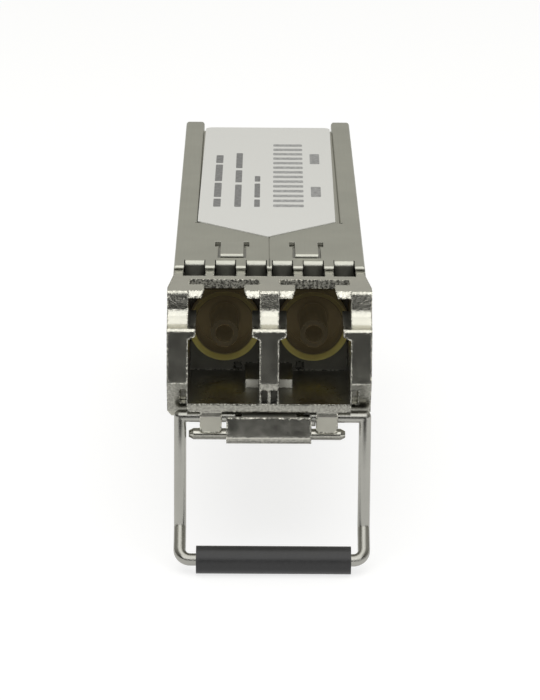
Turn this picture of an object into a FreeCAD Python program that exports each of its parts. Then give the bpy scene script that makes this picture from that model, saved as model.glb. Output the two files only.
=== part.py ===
"""Pluggable duplex optical transceiver with a hanging wire bail, in millimetres.

X is to the right seen from the front, Y runs from the nose to the rear, Z is up. While the
pieces are built, Y is measured from the nose's front face and Z from the underside of the
body. They are written out with Y = 0 on the cage stop, at the back of the exposed nose.
"""
import FreeCAD
import Part
import math
import os

Vector = FreeCAD.Vector

# Body
overall_length = 56.5
body_height = 8.5
base_wall = 0.95
base_floor = 0.8
base_ledge = 1.15
base_ledge_height = 0.85
rail_width = 1.5
rail_round = 0.35
contact_window = 10.4

# Nose casting
nose_width = 14.05
nose_overhang = 0.325
nose_shoulder_start = 2.7
nose_shoulder_length = 3.3
nose_length = 9.0
nose_tail = 1.8
tail_tongue_length = 4.6
tail_tongue_height = 0.75
chin_height = 2.1
chin_setback = 0.35
corner_relief = 1.5
stop_drop = 0.75
stop_back = 3.6
stop_chamfer = 0.42
ledge_height = 5.95
post_setback = 1.6
cove_radius = 1.35
foot_pocket_bottom = 0.63
corner_pocket_drop = 0.23
foot_pocket_height = 1.0
foot_pocket_width = 0.43
foot_pocket_depth = 0.45
foot_pocket_rim = 0.12
casting_edge = 0.15
skirt_chamfer = 0.2

# Ports
port_pitch = 6.25
port_width = 4.92
port_depth = 8.9
port_floor = 0.6
lip_thickness = 0.48
slot_roof = 0.63
rear_roof = 1.48
roof_ramp = 2.9
guide_width = 0.52
guide_height = 0.5
guide_length = 5.2
wall_socket = 0.5
wall_socket_x = 2.2
wall_socket_rise = 0.36
wall_socket_depth = 0.4
arm_slot_top = 2.74
arm_slot_bottom = 3.17
lip_slope = 0.25
lug_slot_start = 3.55
lug_slot_length = 1.4
lug_slot_inset = 0.05

# Optical sub-assemblies
optical_height = 4.1
barrel_diameter = 5.02
barrel_bore = 4.1
barrel_lead_in = 0.4
barrel_length = 4.1
barrel_reach = 1.0
barrel_back = 1.2
barrel_key_width = 3.8
barrel_key_depth = 0.55
sleeve_diameter = 1.95
sleeve_reach = 2.0
ferrule_bore = 1.25
ferrule_stop = 0.4
can_diameter = 4.6
can_length = 4.5
can_flange_diameter = 4.98
can_flange_thickness = 0.6
can_flange_inset = 0.5
lead_gauge = 0.25
lead_spread = 0.8
lead_lap = 1.5
retainer_thickness = 1.3
retainer_gap = 0.6

# Folded sheet cover
sheet = 0.25
fold_radius = 0.2
sheet_edge = 0.12
collar_reach = 1.35
collar_length = 13.35
skirt_setback = 3.15
collar_skirt = 7.55
cover_tail_gap = 2.4
cover_side_gap = 0.15
strip_corner = 0.5
crease_width = 0.06
crease_depth = 0.05
finger_width = 1.36
finger_inner = 0.92
finger_pitch = 2.165
finger_slit = 0.06
finger_setback = 1.45
finger_root = 1.85
finger_drop = 1.15
finger_bend = 0.35
side_finger_width = 1.3
side_finger_pitch = 2.1
side_finger_top = 6.5
side_finger_bulge = 0.45
side_finger_length = 3.1
finger_pocket_room = 0.1
finger_pocket_length = 3.15
finger_pocket_step = 1.2
tongue_width = 1.75
tongue_spacing = 5.3
tongue_length = 4.6
tongue_lift = 0.25
tongue_slot = 0.12
tongue_front_gap = 2.55
tongue_edge = 0.2
root_notch_width = 0.45
root_notch_length = 1.4
corner_notch = 0.35

# Label
label_thickness = 0.06
label_turn = 0.18
label_rear_gap = 0.05
label_point = 4.7
label_corner = 0.6

# Bail
wire_diameter = 0.86
bail_leg_inset = 0.65
bail_play = 0.3
bail_shift = 0.26
bail_pivot_y = 1.1
bail_pivot_drop = 0.5
bail_leg_length = 7.96
bail_step_forward = 2.0
bail_step_down = 1.8
bail_corner = 0.75
grip_diameter = 1.93
grip_length = 10.7
grip_shift = 0.12
grip_wall_gap = 0.03
cam_throw = 0.25
cam_length = 0.8
ear_width = 1.5
ear_spacing = 8.0
ear_depth = 1.55
ear_gap = 0.05
ear_round = 0.35
ear_lip = 0.37
ear_lip_drop = 0.25

# Latch lever
block_width = 5.86
block_depth = 2.55
block_height = 1.99
block_front = 0.05
block_gap = 0.31
block_round = 0.5
block_skin = 0.27
neck_depth = 0.85
arm_width = 2.4
arm_thickness = 0.35
boss_height = 0.42
boss_setback = 2.5
boss_length = 1.6
boss_flat = 0.5
hub_radius = 0.65
latch_pin_diameter = 0.8
latch_pin_y = 4.4
latch_pin_drop = 0.4
lug_width = 0.85
lug_gap = 0.25
lug_radius = 0.75
channel_side_gap = 0.15
channel_side_wall = 0.3
channel_roof = 0.27
channel_ramp = 1.0
pad_slope = 0.25
channel_end_gap = 0.9
rod_diameter = 0.8
rod_length = 10.8
rod_shift = -0.12
rod_y = 1.3
rod_cover = 0.06
latch_travel = 3.0
spring_width = 1.3
spring_thickness = 0.1
spring_span = 2.4
spring_sag = 0.5

# Circuit board
board_width = 9.2
board_thickness = 1.0
board_underside = 2.25
board_front = 19.0
board_tail_gap = 3.2
board_nose_chamfer = 0.3
contact_count = 10
contact_pitch = 0.8
contact_width = 0.6
contact_length = 2.9
contact_inset = 0.35
contact_thickness = 0.05
post_length = 2.0
post_lap = 0.7
chip_bevel = 0.12
driver_width = 5.0
driver_height = 0.9
controller_width = 4.0
controller_height = 0.8
memory_width = 3.0
memory_length = 2.9
memory_height = 0.95
pin_pitch = 0.65
pin_width = 0.3
pin_height = 0.25
pin_gauge = 0.15
pin_reach = 0.75
chip_row_pitch = 1.15
capacitor_count = 7
capacitor_width = 0.5
capacitor_length = 1.0
capacitor_height = 0.5
resistor_count = 7
resistor_width = 0.5
resistor_length = 1.0
resistor_height = 0.35

# Clearances
slip = 0.02
running = 0.03
pivot_play = 0.05
cam_gap = 0.04
moving_gap = 0.08

# Places worked out from the sizes above
half_nose = nose_width / 2
half_body = half_nose - nose_overhang
nose_back = nose_length + nose_tail
port_x = port_pitch / 2
port_inner = (port_pitch - port_width) / 2
port_outer = (port_pitch + port_width) / 2
sheet_underside = body_height - sheet
half_recess = half_body - sheet - slip
recess_top = sheet_underside - slip
lip_underside = recess_top - lip_thickness
lug_slot_end = lug_slot_start + lug_slot_length
slot_underside = recess_top - slot_roof
roof_underside = recess_top - rear_roof
shoulder_end = nose_shoulder_start + nose_shoulder_length
skirt_bottom = body_height - collar_skirt
collar_front = nose_length - collar_reach
collar_back = collar_front + collar_length
half_cavity = half_body - base_wall
half_ledge = half_cavity - base_ledge
rail_inside = half_body - rail_width
half_strip = rail_inside - cover_side_gap
cover_back = overall_length - cover_tail_gap
barrel_front = port_depth - barrel_reach
barrel_end = barrel_front + barrel_length
sleeve_front = barrel_front - sleeve_reach
can_end = barrel_end + can_length
pivot_z = -bail_pivot_drop
wire_radius = wire_diameter / 2
leg_x = half_nose - bail_leg_inset
relief_inner = leg_x - wire_radius - bail_play - slip
pin_z = -latch_pin_drop
block_top = -block_gap
block_bottom = block_top - block_height
arm_underside = boss_height + running
arm_top = arm_underside + arm_thickness
channel_top = arm_top + moving_gap
pad_top = channel_top + channel_roof
half_channel = arm_width / 2 + channel_side_gap
boss_shoulder = nose_length + boss_setback
boss_end = boss_shoulder + boss_length
channel_end = boss_end + channel_end_gap
finger_face = collar_front + finger_setback
finger_root_y = collar_front + finger_root
finger_back = finger_root_y + finger_pocket_room
side_front = collar_front + skirt_setback
side_finger_tip = side_front - side_finger_length
ear_inner = (ear_spacing - ear_width) / 2
ear_outer = (ear_spacing + ear_width) / 2
rod_z = block_bottom + rod_cover + rod_diameter / 2
rod_rise = (latch_pin_y - rod_y) * math.sin(math.radians(latch_travel))
ear_bottom = rod_z + rod_diameter / 2 + rod_rise + ear_gap
cam_outer = ear_inner - bail_play
cam_inner = cam_outer - cam_length
bar_y = bail_pivot_y - bail_step_forward
bar_z = pivot_z - bail_leg_length - bail_step_down
lug_inner = arm_width / 2 + lug_gap
lug_outer = lug_inner + lug_width
channel_front = latch_pin_y - lug_radius
spring_y = (nose_back + channel_end) / 2
spring_top = arm_top + spring_sag + spring_thickness
board_top = board_underside + board_thickness
board_back = overall_length - board_tail_gap
contact_start = board_back - contact_inset - contact_length
lead_end = board_front + lead_lap
chip_room = contact_start - lead_end
chip_lengths = [driver_width, controller_width, memory_length, resistor_length, capacitor_length]
chip_gap = (chip_room - sum(chip_lengths)) / (len(chip_lengths) + 1)
chip_ys = [lead_end + (index + 1) * chip_gap + sum(chip_lengths[:index]) + length / 2
           for index, length in enumerate(chip_lengths)]
driver_y, controller_y, memory_y, resistor_y, capacitor_y = chip_ys


def box(x0, x1, y0, y1, z0, z1):
    """Block between two corners."""
    return Part.makeBox(x1 - x0, y1 - y0, z1 - z0, Vector(x0, y0, z0))


def both_sides(shape):
    """A shape on the right and its mirror image on the left."""
    return [shape, shape.mirror(Vector(0, 0, 0), Vector(1, 0, 0))]


def rod_x(radius, x0, x1, y, z):
    """Cylinder along X."""
    return Part.makeCylinder(radius, x1 - x0, Vector(x0, y, z), Vector(1, 0, 0))


def rod_y_axis(radius, x, y0, y1, z):
    """Cylinder along Y."""
    return Part.makeCylinder(radius, y1 - y0, Vector(x, y0, z), Vector(0, 1, 0))


def prism(points, direction):
    """Solid drawn from a closed outline of points along a direction."""
    return Part.Face(Part.makePolygon(points + [points[0]])).extrude(direction)


def prism_yz(outline, x0, x1):
    """Solid from an outline of (y, z) points, between two X planes."""
    return prism([Vector(x0, y, z) for y, z in outline], Vector(x1 - x0, 0, 0))


def prism_xz(outline, y0, y1):
    """Solid from an outline of (x, z) points, between two Y planes."""
    return prism([Vector(x, y0, z) for x, z in outline], Vector(0, y1 - y0, 0))


def prism_xy(outline, z0, z1):
    """Solid from an outline of (x, y) points, between two Z planes."""
    return prism([Vector(x, y, z0) for x, y in outline], Vector(0, 0, z1 - z0))


def band(edges, direction):
    """Solid from closed edges in order, drawn along a direction."""
    return Part.Face(Part.Wire(edges)).extrude(direction)


def line(a, b):
    """Straight edge."""
    return Part.LineSegment(a, b).toShape()


def arc(a, middle, b):
    """Arc edge through three points."""
    return Part.Arc(a, middle, b).toShape()


def joined(shapes):
    """One solid from overlapping or touching shapes."""
    return shapes[0].multiFuse(shapes[1:]).removeSplitter()


def group(shapes):
    """Separate solids kept in one piece list."""
    return Part.makeCompound(shapes)


def edges_near(shape, test):
    """Edges whose two ends and middle all pass a test on their position."""
    found = []
    for edge in shape.Edges:
        middle = edge.valueAt((edge.FirstParameter + edge.LastParameter) / 2)
        points = [vertex.Point for vertex in edge.Vertexes] + [middle]
        if all(test(point) for point in points):
            found.append(edge)
    return found


def finger_rows():
    """Middle X of each top spring finger."""
    right = [finger_inner + index * finger_pitch for index in range(3)]
    return [-x for x in reversed(right)] + right


def side_finger_rows():
    """Middle Z of each side spring finger, from the top down."""
    first = side_finger_top - side_finger_width / 2
    return [first - index * side_finger_pitch for index in range(3)]


def arm_slot():
    """Slot through the lip for a plug's latch arm, wider below, open to the lug slot behind."""
    top = arm_slot_top / 2
    bottom = arm_slot_bottom / 2
    outline = [(port_x - bottom, lip_underside - slip), (port_x + bottom, lip_underside - slip),
               (port_x + top, recess_top + slip), (port_x - top, recess_top + slip)]
    return prism_xz(outline, -1, lug_slot_start + slip)


def nose_cavities():
    """Both ports with their sloping roof, the lug slots and the latch-arm slots in the lip."""
    tall = box(port_inner, port_outer, -1, lug_slot_end, port_floor, lip_underside)
    ramp_end = lug_slot_end + roof_ramp
    outline = [(lug_slot_end - slip, port_floor), (lug_slot_end - slip, slot_underside),
               (lug_slot_end, slot_underside), (ramp_end, roof_underside), (port_depth, roof_underside),
               (port_depth, port_floor)]
    low = prism_yz(outline, port_inner, port_outer)
    slot_inner = port_inner + lug_slot_inset
    slot_outer = port_outer - lug_slot_inset
    lug = box(slot_inner, slot_outer, lug_slot_start, lug_slot_end, lip_underside - slip, body_height)
    slope = prism_yz([(-1, lip_underside), (post_setback, lip_underside), (post_setback + lip_slope, recess_top),
                      (post_setback + lip_slope, body_height), (-1, body_height)], port_inner, port_outer)
    cuts = []
    for shape in (tall, low, lug, arm_slot(), slope):
        cuts.extend(both_sides(shape))
    return cuts


def nose_front_cuts():
    """The set-back upper posts with their coves and eased edges, the sloping chin and its corner reliefs."""
    cove = cove_radius * (1 - math.sqrt(0.5))
    cove_y = post_setback - cove_radius
    cove_z = ledge_height + cove_radius
    ease_y = post_setback + casting_edge
    top = body_height + 1
    profile = [(-1, ledge_height - casting_edge), (0, ledge_height - casting_edge), (casting_edge, ledge_height),
               (cove_y, ledge_height), (post_setback - cove, ledge_height + cove), (post_setback, cove_z),
               (post_setback, recess_top - casting_edge), (ease_y, recess_top), (ease_y, top), (-1, top)]
    points = [Vector(-half_nose, y, z) for y, z in profile]
    edges = [line(points[0], points[1]), line(points[1], points[2]), line(points[2], points[3]),
             arc(points[3], points[4], points[5])]
    for start, end in zip(points[5:], points[6:] + points[:1]):
        edges.append(line(start, end))
    upper = band(edges, Vector(nose_width, 0, 0))
    chin = prism_yz([(-1, chin_height), (0, chin_height), (chin_setback, 0), (-1, 0)], -half_nose, half_nose)
    relief = prism_yz([(-1, chin_height), (0, chin_height), (corner_relief, 0), (-1, 0)],
                      relief_inner, half_nose)
    return [upper, chin] + both_sides(relief)


def nose_pockets():
    """Foot pockets beside the ports, blind sockets behind them and the pockets of the spring fingers."""
    top = foot_pocket_bottom + foot_pocket_height
    inner_depth = chin_setback + foot_pocket_depth
    outer_depth = corner_relief + foot_pocket_depth
    inner_edge = port_inner - foot_pocket_rim
    outer_edge = port_outer + foot_pocket_rim
    inner_pocket = box(inner_edge - foot_pocket_width, inner_edge, -1, inner_depth, foot_pocket_bottom, top)
    outer_pocket = box(outer_edge, outer_edge + foot_pocket_width, -1, outer_depth,
                       foot_pocket_bottom - corner_pocket_drop, top)
    half = wall_socket / 2
    socket_z = port_floor + wall_socket_rise
    socket = box(wall_socket_x - half, wall_socket_x + half, port_depth - slip, port_depth + wall_socket_depth,
                 socket_z - half, socket_z + half)
    cuts = both_sides(inner_pocket) + both_sides(outer_pocket) + both_sides(socket)
    half = finger_width / 2 + finger_pocket_room
    floor = body_height - finger_drop - finger_pocket_room
    front = finger_face - finger_pocket_length
    step = front + finger_pocket_step
    shallow = (floor + recess_top) / 2
    for x in finger_rows():
        cuts.append(box(x - half, x + half, front, step + slip, shallow, body_height))
        cuts.append(box(x - half, x + half, step, finger_back, floor, body_height))
    half = side_finger_width / 2 + finger_pocket_room
    inside = half_body - 2 * sheet - finger_pocket_room
    for z in side_finger_rows():
        front = side_finger_tip - finger_pocket_room
        pocket = box(inside, half_nose + 1, front, nose_length, z - half, z + half)
        cuts.extend(both_sides(pocket))
    return cuts


def port_guide(wall, tip):
    """Guide rail along a port wall, from the wall to its tip."""
    bottom = ledge_height - guide_height
    outline = [(wall, bottom - guide_height / 2), (tip, bottom), (tip, ledge_height), (wall, ledge_height)]
    return prism_xz(outline, 0, guide_length)


def corner_stop():
    """Right lower stop of the nose, sloping on from the corner relief and chamfered outside."""
    rise = 2 * skirt_chamfer
    lean = corner_relief / chin_height
    outline = [(corner_relief - lean * rise, rise), (corner_relief + lean * stop_drop, -stop_drop),
               (stop_back, -stop_drop), (stop_back, rise)]
    stop = prism_yz(outline, relief_inner, half_nose)
    bevel = [(half_nose, -stop_drop), (half_nose, stop_chamfer - stop_drop),
             (half_nose - 0.7 * stop_chamfer, -stop_drop)]
    plan = [(half_nose + 1, nose_shoulder_start), (half_nose, nose_shoulder_start), (half_body, shoulder_end),
            (half_nose + 1, shoulder_end)]
    return stop.cut([prism_xz(bevel, -1, stop_back + 1), prism_xy(plan, -1, 1)])


def latch_channel(y0, y1):
    """Room for the latch arm, open below."""
    return box(-half_channel, half_channel, y0, y1, -1, channel_top)


def build_nose():
    """Die-cast front: ports, posts, chin, latch channel, bail ears and latch lugs."""
    plan = [(half_nose, 0), (half_nose, nose_shoulder_start), (half_body, shoulder_end),
            (half_body, nose_length)]
    plan = plan + [(-x, y) for x, y in reversed(plan)]
    front = prism_xy(plan, 0, recess_top)
    foot = box(-half_body, half_body, nose_length, nose_back, 0, skirt_bottom - slip)
    tail = box(-half_recess, half_recess, nose_length, nose_back, 0, recess_top)
    half_tongue = half_ledge - slip
    tongue_end = nose_back + tail_tongue_length
    tongue_floor = recess_top - tail_tongue_height
    tongue = box(-half_tongue, half_tongue, nose_back, tongue_end, tongue_floor, recess_top)
    shape = joined([front, foot, tail, tongue])
    corner = [(half_nose, 0), (half_nose, 2 * skirt_chamfer), (half_nose - skirt_chamfer, 0)]
    skirt = prism_xz(corner, 0, nose_length)
    shape = shape.cut(nose_cavities() + both_sides(skirt))

    inner_guide = port_guide(port_inner, port_inner + guide_width)
    outer_guide = port_guide(port_outer, port_outer - guide_width)
    pad_half = half_channel + channel_side_wall
    pad = prism_yz([(latch_pin_y, port_floor), (latch_pin_y + pad_slope, pad_top), (port_depth, pad_top),
                    (port_depth, port_floor)], -pad_half, pad_half)
    shape = joined([shape, pad] + both_sides(inner_guide) + both_sides(outer_guide)).cut(nose_front_cuts())

    ramp_end = latch_pin_y + channel_ramp
    hub_top = pin_z + hub_radius + moving_gap
    ramp = prism_yz([(channel_front, -1), (channel_front, port_floor / 3), (latch_pin_y, hub_top),
                     (ramp_end, channel_top), (ramp_end, -1)], -half_channel, half_channel)
    bore = rod_y_axis(barrel_diameter / 2 + slip, port_x, barrel_front - slip, nose_back + 1, optical_height)
    cam_room = wire_radius + 2 * pivot_play
    cam_top = pivot_z + cam_throw + wire_radius + cam_gap
    cam_pocket = box(cam_inner - bail_play, ear_inner, bail_pivot_y - cam_room,
                     bail_pivot_y + cam_room, -1, cam_top)
    cuts = [ramp, latch_channel(ramp_end - slip, nose_back + 1)]
    shape = shape.cut(cuts + both_sides(bore) + both_sides(cam_pocket) + nose_pockets())

    ear = box(ear_inner, ear_outer, chin_setback, chin_setback + ear_depth, ear_bottom, slip)
    lip_bottom = ear_bottom - ear_lip_drop
    lip = box(ear_inner, ear_outer, chin_setback, chin_setback + ear_lip, lip_bottom, slip)
    lip = lip.makeFillet(ear_round, edges_near(lip, lambda p: abs(p.z - lip_bottom) < 0.01
                                               and min(abs(p.x - ear_inner), abs(p.x - ear_outer)) < 0.01))
    ear = joined([ear, lip])
    ear = ear.cut(rod_x(wire_radius + pivot_play, ear_inner - 1, ear_outer + 1, bail_pivot_y, pivot_z))
    lug = joined([box(lug_inner, lug_outer, latch_pin_y - lug_radius, latch_pin_y + lug_radius, pin_z, slip),
                  rod_x(lug_radius, lug_inner, lug_outer, latch_pin_y, pin_z)])
    lug = lug.cut(rod_x(latch_pin_diameter / 2, lug_inner - 1, lug_outer + 1, latch_pin_y, pin_z))
    return joined([shape] + both_sides(ear) + both_sides(lug) + both_sides(corner_stop()))


def build_base():
    """Lower shell: floor, side walls, cover ledges and board posts."""
    shape = box(-half_body, half_body, nose_back, overall_length, 0, sheet_underside)
    ledge_underside = sheet_underside - base_ledge_height
    y0 = nose_back - 1
    y1 = overall_length + 1
    shape = shape.cut([box(-half_cavity, half_cavity, y0, y1, base_floor, ledge_underside),
                       box(-half_ledge, half_ledge, y0, y1, base_floor, body_height + 1)])
    seat_end = collar_back + slip
    mouth = box(-rail_inside, rail_inside, cover_back + slip, y1, base_floor, body_height + 1)
    collar_seat = box(-half_body - 1, half_body + 1, y0, seat_end, recess_top, body_height + 1)
    skirt_seat = box(half_recess, half_body + 1, y0, seat_end, skirt_bottom - slip, body_height + 1)
    window = box(-half_cavity, half_cavity, overall_length - contact_window, y1, -1, base_floor + slip)
    shape = shape.cut([mouth, collar_seat, window] + both_sides(skirt_seat))
    outer_corners = edges_near(shape, lambda p: abs(p.y - overall_length) < 0.01
                               and abs(abs(p.x) - half_body) < 0.01)
    shape = shape.makeFillet(rail_round, outer_corners)

    pad_half = half_channel + channel_side_wall
    pad_end = channel_end + channel_side_wall
    pad = box(-pad_half, pad_half, nose_back, pad_end, 0, pad_top)
    ridge_half = spring_width / 2 + moving_gap + channel_side_wall
    ridge = box(-ridge_half, ridge_half, nose_back, pad_end, 0, spring_top + channel_roof)
    posts = []
    post_ys = (board_front + post_length, overall_length - contact_window - 2 * post_length)
    for y in post_ys:
        post = box(board_width / 2 - post_lap, half_cavity, y, y + post_length, 0, board_underside)
        posts.extend(both_sides(post))
    shape = joined([shape, pad, ridge] + posts)
    half_pocket = spring_width / 2 + moving_gap
    spring_room = box(-half_pocket, half_pocket, spring_y - spring_span / 2 - moving_gap,
                      spring_y + spring_span / 2 + moving_gap, -1, spring_top)
    return shape.cut([latch_channel(nose_back - 1, channel_end), spring_room])


def top_finger(x):
    """Spring finger that leaves the collar flat and turns down into the nose."""
    left = x - finger_width / 2
    bend_y = finger_face + finger_bend
    bend_z = body_height - finger_bend
    tip_z = body_height - finger_drop
    inner = finger_bend - sheet
    corner = math.sqrt(0.5)
    places = [(finger_root_y + slip, body_height), (bend_y, body_height),
              (bend_y - finger_bend * corner, bend_z + finger_bend * corner), (finger_face, bend_z),
              (finger_face, tip_z), (finger_face + sheet, tip_z), (finger_face + sheet, bend_z),
              (bend_y - inner * corner, bend_z + inner * corner), (bend_y, sheet_underside),
              (finger_root_y + slip, sheet_underside)]
    p = [Vector(left, y, z) for y, z in places]
    edges = [line(p[0], p[1]), arc(p[1], p[2], p[3]), line(p[3], p[4]), line(p[4], p[5]), line(p[5], p[6]),
             arc(p[6], p[7], p[8]), line(p[8], p[9]), line(p[9], p[0])]
    return band(edges, Vector(finger_width, 0, 0))


def side_finger(z):
    """Bowed spring finger on the right flank, its tip tucked into the nose."""
    bottom = z - side_finger_width / 2
    root_y = side_front + slip
    middle_y = (side_front + side_finger_tip) / 2
    outer_x = half_body + side_finger_bulge
    tip_x = half_body - sheet
    p = [Vector(x, y, bottom) for x, y in
         [(half_body, root_y), (outer_x, middle_y), (tip_x, side_finger_tip),
          (tip_x - sheet, side_finger_tip), (outer_x - sheet, middle_y), (half_body - sheet, root_y)]]
    edges = [arc(p[0], p[1], p[2]), line(p[2], p[3]), arc(p[3], p[4], p[5]), line(p[5], p[0])]
    return band(edges, Vector(0, 0, side_finger_width))


def tongue_parts():
    """Windows and raised tongues lanced in the collar."""
    windows = []
    tongues = []
    front = collar_front + tongue_front_gap
    root = front + tongue_length
    half = tongue_width / 2
    low = sheet_underside - 1
    high = body_height + 1
    for x in (-tongue_spacing / 2, tongue_spacing / 2):
        reach = half + tongue_slot
        windows.append(box(x - reach, x + reach, front - tongue_slot, root, low, high))
        for side in (-1, 1):
            notch_x = x + side * (half + tongue_slot)
            windows.append(box(notch_x - root_notch_width / 2, notch_x + root_notch_width / 2,
                               root - root_notch_length, root + tongue_slot, low, high))
        outline = [(root + slip, sheet_underside), (root + slip, body_height),
                   (front, body_height + tongue_lift), (front, sheet_underside + tongue_lift)]
        tongue = prism_yz(outline, x - half + tongue_slot / 2, x + half - tongue_slot / 2)
        nose_edge = edges_near(tongue, lambda p: abs(p.y - front) < 0.01
                               and abs(p.z - body_height - tongue_lift) < 0.01)
        tongues.append(tongue.makeFillet(tongue_edge, nose_edge))
    return windows, tongues


def rail_corner_cuts():
    """What rounds the two rear corners of the right rail."""
    cuts = []
    for x, side in ((rail_inside, 1), (half_body, -1)):
        middle = x + side * rail_round
        square = box(min(x - side, middle), max(x - side, middle), overall_length - rail_round,
                     overall_length + 1, sheet_underside - 1, body_height + 1)
        pin = Part.makeCylinder(rail_round, 3 + sheet, Vector(middle, overall_length - rail_round,
                                                              sheet_underside - 1))
        cuts.append(square.cut(pin))
    return cuts


def build_top_cover():
    """Folded sheet: collar with skirts, fingers and tongues, then two rails and the strip between them."""
    collar = box(-half_body, half_body, collar_front, collar_back, sheet_underside, body_height)
    skirt = box(half_body - sheet, half_body, side_front, collar_back, skirt_bottom, body_height)
    strip = box(-half_strip, half_strip, collar_back - slip, cover_back, sheet_underside, body_height)
    strip_ends = edges_near(strip, lambda p: abs(p.y - cover_back) < 0.01
                            and abs(abs(p.x) - half_strip) < 0.01)
    strip = strip.makeFillet(strip_corner, strip_ends)
    rail = box(rail_inside, half_body, collar_back - slip, overall_length, sheet_underside, body_height)
    shape = joined([collar, strip] + both_sides(skirt) + both_sides(rail))
    folds = edges_near(shape, lambda p: abs(p.z - body_height) < 0.01
                       and (abs(abs(p.x) - half_body) < 0.01
                            or (p.y > collar_back - 0.01 and abs(abs(p.x) - rail_inside) < 0.01)))
    shape = shape.makeFillet(fold_radius, folds)
    for cut in rail_corner_cuts():
        shape = shape.cut(both_sides(cut))
    eased = [(collar_front - 1, body_height - sheet_edge), (collar_front, body_height - sheet_edge),
             (collar_front + sheet_edge, body_height), (collar_front + sheet_edge, body_height + 1),
             (collar_front - 1, body_height + 1)]
    shape = shape.cut(prism_yz(eased, -half_body, half_body))
    low = sheet_underside - 1
    high = body_height + 1
    notch = box(half_strip - slip, half_strip + corner_notch, collar_back - corner_notch, collar_back + slip,
                low, high)
    crease = box(-crease_width / 2, crease_width / 2, collar_front - 1, collar_back - 0.9 * label_point,
                 body_height - crease_depth, high)
    windows, tongues = tongue_parts()
    half = finger_width / 2 + finger_slit
    for x in finger_rows():
        windows.append(box(x - half, x + half, collar_front - 1, finger_root_y, low, high))
    shape = shape.cut(windows + both_sides(notch) + [crease])
    fingers = [top_finger(x) for x in finger_rows()]
    for z in side_finger_rows():
        fingers.extend(both_sides(side_finger(z)))
    return joined([shape] + tongues + fingers)


def build_label():
    """Label with a shallow pointed front, on the cover, set down a little askew."""
    back = cover_back - label_rear_gap
    outline = [(-half_strip, back), (-half_strip - label_turn, collar_back),
               (-label_turn / 2, collar_back - label_point), (half_strip - label_turn, collar_back),
               (half_strip, back)]
    shape = prism_xy(outline, body_height, body_height + label_thickness)
    corners = edges_near(shape, lambda p: abs(p.y - back) < 0.01 and abs(abs(p.x) - half_strip) < 0.01)
    return shape.makeFillet(label_corner, corners)


def build_receptacle(x):
    """Moulded barrel with a lead-in and a key above it, and the ferrule sleeve inside."""
    barrel = rod_y_axis(barrel_diameter / 2, x, barrel_front, barrel_end, optical_height)
    bore_radius = barrel_bore / 2
    bore = rod_y_axis(bore_radius, x, barrel_front - 1, barrel_end - barrel_back, optical_height)
    lead_in = Part.makeCone(bore_radius + barrel_lead_in, bore_radius, barrel_lead_in,
                            Vector(x, barrel_front, optical_height), Vector(0, 1, 0))
    key = box(x - barrel_key_width / 2, x + barrel_key_width / 2, port_depth - barrel_key_depth, port_depth,
              optical_height, roof_underside - pivot_play)
    sleeve = rod_y_axis(sleeve_diameter / 2, x, sleeve_front, barrel_end, optical_height)
    hole = rod_y_axis(ferrule_bore / 2, x, sleeve_front - 1, barrel_end - ferrule_stop, optical_height)
    return joined([joined([barrel, key]).cut([bore, lead_in]), sleeve]).cut(hole)


def build_can(x):
    """Sealed metal can of a laser or detector, with its weld flange."""
    can = rod_y_axis(can_diameter / 2, x, barrel_end, can_end, optical_height)
    flange_end = can_end - can_flange_inset
    flange_start = flange_end - can_flange_thickness
    flange = rod_y_axis(can_flange_diameter / 2, x, flange_start, flange_end, optical_height)
    return joined([can, flange])


def build_leads(x):
    """Four flat leads from a can, two on each face of the board."""
    half = lead_gauge / 2
    leads = []
    for z in (board_top, board_underside - lead_gauge):
        for side in (-1, 1):
            middle = x + side * lead_spread
            leads.append(box(middle - half, middle + half, can_end, lead_end, z, z + lead_gauge))
    return group(leads)


def build_osa_retainer():
    """Saddle over both cans, held down by the ledges of the base."""
    y0 = barrel_end + retainer_gap
    half = half_cavity - slip
    top = sheet_underside - base_ledge_height
    shape = box(-half, half, y0, y0 + retainer_thickness, optical_height, top)
    arches = [rod_y_axis(can_diameter / 2 + slip, x, y0 - 1, y0 + retainer_thickness + 1, optical_height)
              for x in (-port_x, port_x)]
    return shape.cut(arches)


def rounded_path(points, radius):
    """Wire through points, with a tangent arc of one radius at each inner point."""
    edges = []
    start = points[0]
    for before, corner, after in zip(points, points[1:], points[2:]):
        u = (before - corner).normalize()
        v = (after - corner).normalize()
        half_turn = (math.pi - u.getAngle(v)) / 2
        reach = radius * math.tan(half_turn)
        bisector = (u + v).normalize()
        middle = corner + bisector * (radius / math.cos(half_turn) - radius)
        a = corner + u * reach
        b = corner + v * reach
        edges.append(line(start, a))
        edges.append(arc(a, middle, b))
        start = b
    edges.append(line(start, points[-1]))
    return Part.Wire(edges)


def build_bail_wire():
    """Bent wire: cam ends, pivot stubs, legs, forward step and crossbar, at one end of its side play."""
    stub = Vector((cam_inner + cam_outer) / 2, bail_pivot_y, pivot_z)
    elbow = Vector(leg_x, bail_pivot_y, pivot_z)
    kink = Vector(leg_x, bail_pivot_y, pivot_z - bail_leg_length)
    corner = Vector(leg_x, bar_y, bar_z)
    far_side = [Vector(-p.x, p.y, p.z) for p in (corner, kink)]
    path = rounded_path([kink, corner] + far_side, bail_corner)
    profile = Part.Wire(Part.Circle(kink, corner - kink, wire_radius).toShape())
    hoop = path.makePipeShell([profile], True, False)
    pieces = [rod_x(wire_radius, cam_inner, cam_outer, bail_pivot_y, pivot_z - cam_throw)]
    for start, end in ((stub, elbow), (elbow, kink)):
        run = end - start
        pieces.append(Part.makeCylinder(wire_radius, run.Length, start, run))
        pieces.append(Part.makeSphere(wire_radius, end))
    shape = hoop
    for piece in pieces:
        shape = joined([shape] + both_sides(piece))
    shape.translate(Vector(bail_shift, 0, 0))
    return shape


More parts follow.
